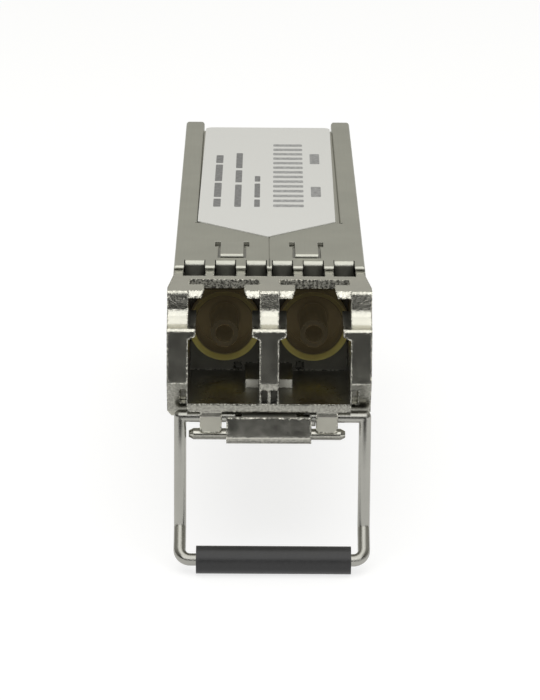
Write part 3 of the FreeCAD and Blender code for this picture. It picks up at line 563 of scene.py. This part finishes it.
MATERIALS = {
    "nose": plated_casting("nose plate", (0.56, 0.55, 0.485), roughness=0.20, grain=0.002, edge_radius=0.19,
                           recess=NOSE_RECESS, satin_below=-0.3),
    "latch_lever": plated_casting("lever plate", (0.56, 0.55, 0.49), roughness=0.12, grain=0.0008,
                                  edge_radius=0.24, wave=4.0, satin_top=True),
    "lever_rod": plated_casting("rod plate", (0.52, 0.51, 0.455), roughness=0.24, grain=0.001,
                                edge_radius=0.09, sparkle=0.2),
    "bail_wire": rolled_sheet("drawn wire", (0.36, 0.356, 0.325), roughness=0.14, stretch=(1.0, 1.0, 0.1),
                              edge_radius=0.2),
    "base": plated_casting("shell plate", (0.50, 0.495, 0.44), roughness=0.40, grain=0.001,
                           edge_radius=0.12, sparkle=0.1),
    "top_cover": rolled_sheet("cover sheet", (0.475, 0.475, 0.42), roughness=0.38, stretch=(1.0, 0.05, 1.0),
                              edge_radius=0.07, recess=COVER_RECESS),
    "label": moulded("label film", (0.705, 0.705, 0.685), roughness=0.55, scale=5000.0, grain=0.001,
                     variation=0.01),
    "receptacle": amber_plastic("amber moulding"),
    "bail_grip": moulded("black tube", (0.029, 0.029, 0.030), roughness=0.40, scale=4000.0, grain=0.005),
    "plain_steel": rolled_sheet("bright steel", (0.58, 0.58, 0.56), roughness=0.30),
    "can": rolled_sheet("gold flash can", (0.62, 0.52, 0.32), roughness=0.28),
    "gold": rolled_sheet("hard gold", (0.78, 0.56, 0.20), roughness=0.22),
    "circuit_board": moulded("solder mask", (0.02, 0.13, 0.05), roughness=0.32, scale=900.0, grain=0.004,
                             variation=0.18, coat=0.3),
    "package": moulded("moulded package", (0.022, 0.022, 0.024), roughness=0.55, scale=8000.0, grain=0.005,
                       variation=0.2),
    "chip_capacitors": moulded("tan ceramic", (0.38, 0.27, 0.16), roughness=0.5, scale=6000.0, grain=0.004),
    "chip_resistors": moulded("dark ceramic", (0.04, 0.04, 0.05), roughness=0.45, scale=6000.0, grain=0.004,
                              variation=0.2),
}

# Nodes that share a material
SHARED = {
    "receptacle": ["tx_receptacle", "rx_receptacle"],
    "plain_steel": ["latch_pin", "latch_spring", "osa_retainer"],
    "can": ["tx_can", "rx_can"],
    "gold": ["tx_leads", "rx_leads", "contacts_top", "contacts_bottom"],
    "package": ["driver_chip", "controller_chip", "memory_chip"],
}


def dress_nodes():
    """Gives every slot of each CAD node its material."""
    for key, material in MATERIALS.items():
        for name in SHARED.get(key, [key]):
            for slot in nodes[name].material_slots:
                slot.material = material


def print_fields():
    """Outlines of the plain fields: rows, blocks and ruled lines, with the number of their tone."""
    fields = []
    for tone, rows in enumerate((PRINT_ROWS, PRINT_BLOCKS)):
        for middle, width, runs in rows:
            for front, rear in runs:
                fields.append((middle - width / 2, middle + width / 2, front, rear, tone))
    pitch = (RULE_REAR - RULE_FRONT) / RULE_COUNT
    for number in range(RULE_COUNT):
        front = RULE_FRONT + number * pitch
        fields.append((RULE_LEFT, RULE_RIGHT, front, front + pitch / 2, RULE_TONE))
    return fields


def build_label_print():
    """Plain grey fields printed on the label, following its slight turn."""
    low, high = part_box("label")
    mesh = bpy.data.meshes.new("label_print")
    work = bmesh.new()
    cut = PRINT_CORNER
    for left, right, front, rear, tone in print_fields():
        outline = [(left + cut, front), (right - cut, front), (right, front + cut), (right, rear - cut),
                   (right - cut, rear), (left + cut, rear), (left, rear - cut), (left, front + cut)]
        rings = []
        for lift in (0.0, PRINT_THICKNESS):
            ring = []
            for x, y in outline:
                share = (high[1] / MM - y) / (high[1] - low[1]) * MM
                ring.append(work.verts.new(((x + LABEL_TURN * share) * MM, y * MM, high[2] + lift * MM)))
            rings.append(ring)
        lower, upper = rings
        faces = [work.faces.new(upper), work.faces.new(lower[::-1])]
        for here in range(len(outline)):
            after = (here + 1) % len(outline)
            faces.append(work.faces.new((lower[here], lower[after], upper[after], upper[here])))
        for face in faces:
            face.material_index = tone
    work.to_mesh(mesh)
    work.free()
    for index, tone in enumerate(PRINT_TONES):
        mesh.materials.append(moulded("print tone %d" % index, (tone, tone, tone), roughness=0.6,
                                      scale=3500.0, grain=0.001, variation=0.25))
    piece = bpy.data.objects.new("label_print", mesh)
    bpy.context.scene.collection.objects.link(piece)
    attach(piece, "module")


def stage_plane(name, front, rear, front_half, rear_half, z, material):
    """Flat stage piece from its ends along the length, its half widths there and its height."""
    corners = [(-front_half, front, z), (front_half, front, z), (rear_half, rear, z), (-rear_half, rear, z)]
    mesh = bpy.data.meshes.new(name)
    mesh.from_pydata(corners, [], [tuple(range(len(corners)))])
    mesh.materials.append(material)
    obj = bpy.data.objects.new(name, mesh)
    bpy.context.scene.collection.objects.link(obj)
    return obj


def floor_material():
    """Pale floor: a soft grey card that the camera and reflections see as white, shadows kept."""
    material, tree, shader = new_material("floor")
    set_inputs(shader, Base_Color=(FLOOR_GREY, FLOOR_GREY, FLOOR_GREY, 1.0), Roughness=STAGE_ROUGHNESS,
               Specular_IOR_Level=0.0)
    path = tree.nodes.new("ShaderNodeLightPath")
    seen = path.outputs["Is Camera Ray"]
    for ray in ("Is Glossy Ray", "Is Transmission Ray"):
        seen = larger(tree, seen, path.outputs[ray])
    glow = add(tree, "ShaderNodeEmission", Color=(1.0, 1.0, 1.0, 1.0))
    tree.links.new(spread(tree, seen, 0.0, FLOOR_GLOW, 0.0, 1.0), glow.inputs["Strength"])
    total = tree.nodes.new("ShaderNodeAddShader")
    tree.links.new(shader.outputs[0], total.inputs[0])
    tree.links.new(glow.outputs[0], total.inputs[1])
    tree.links.new(total.outputs[0], tree.nodes["Material Output"].inputs["Surface"])
    return material


def card_material():
    """Matt dark card."""
    material, _, shader = new_material("dark card")
    set_inputs(shader, Base_Color=(CARD_GREY, CARD_GREY, CARD_GREY, 1.0), Roughness=STAGE_ROUGHNESS)
    return material


def build_world():
    """Grey room: darker in front where the camera stands, lighter behind and above."""
    world = bpy.data.worlds.new("studio")
    bpy.context.scene.world = world
    world.use_nodes = True
    tree = world.node_tree
    place = tree.nodes.new("ShaderNodeTexCoord").outputs["Generated"]
    along = vector_math(tree, "DOT_PRODUCT", place, ROOM_WAY, "Value")
    shades = ramp(tree, spread(tree, along, 0.0, 1.0, *ROOM_REACH), ROOM_STOPS)
    background = tree.nodes["Background"]
    tree.links.new(shades, background.inputs["Color"])
    background.inputs["Strength"].default_value = 1.0


def lamp(name, place, target, width, height, power):
    """Soft rectangular lamp aimed at a point."""
    data = bpy.data.lights.new(name, "AREA")
    data.shape = "RECTANGLE"
    data.size = width
    data.size_y = height
    data.energy = power
    obj = bpy.data.objects.new(name, data)
    obj.location = place
    aim = Vector(target) - Vector(place)
    obj.rotation_euler = aim.to_track_quat("-Z", "Y").to_euler()
    bpy.context.scene.collection.objects.link(obj)


def build_stage():
    """Floor, dark card in front of the object, room and lamps."""
    low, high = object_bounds()
    floor = low[2] - FLOOR_GAP
    stage_plane("floor", FLOOR_FRONT, FLOOR_BACK, FLOOR_HALF_WIDTH, FLOOR_HALF_WIDTH, floor,
                floor_material())
    card = stage_plane("front_card", CARD_FAR, CARD_NEAR, CARD_FAR_HALF, CARD_NEAR_HALF, floor + CARD_LIFT,
                       card_material())
    card.visible_camera = False
    card.visible_diffuse = False
    card.visible_shadow = False
    build_world()
    for name, values in LAMPS.items():
        lamp(name, *values)


def build_camera():
    """Camera at the photograph's angle, from the fitted values."""
    level = math.cos(CAMERA_ELEVATION)
    forward = Vector((math.sin(CAMERA_YAW) * level, math.cos(CAMERA_YAW) * level,
                      -math.sin(CAMERA_ELEVATION)))
    right = Vector((math.cos(CAMERA_YAW), -math.sin(CAMERA_YAW), 0.0))
    up = right.cross(forward)
    turned_right = right * math.cos(CAMERA_ROLL) + up * math.sin(CAMERA_ROLL)
    turned_up = up * math.cos(CAMERA_ROLL) - right * math.sin(CAMERA_ROLL)
    data = bpy.data.cameras.new("camera")
    data.sensor_width = SENSOR
    data.lens = FOCAL_PIXELS / PICTURE_HEIGHT * SENSOR
    data.clip_start = NEAREST_SEEN
    camera = bpy.data.objects.new("camera", data)
    bpy.context.scene.collection.objects.link(camera)
    turn = Matrix((turned_right, turned_up, -forward)).transposed().to_4x4()
    camera.matrix_world = Matrix.Translation(LOOK_AT - forward * CAMERA_DISTANCE) @ turn
    bpy.context.scene.camera = camera


dress_nodes()
build_label_print()
build_stage()
build_camera()
bpy.context.scene.view_settings.view_transform = "Standard"
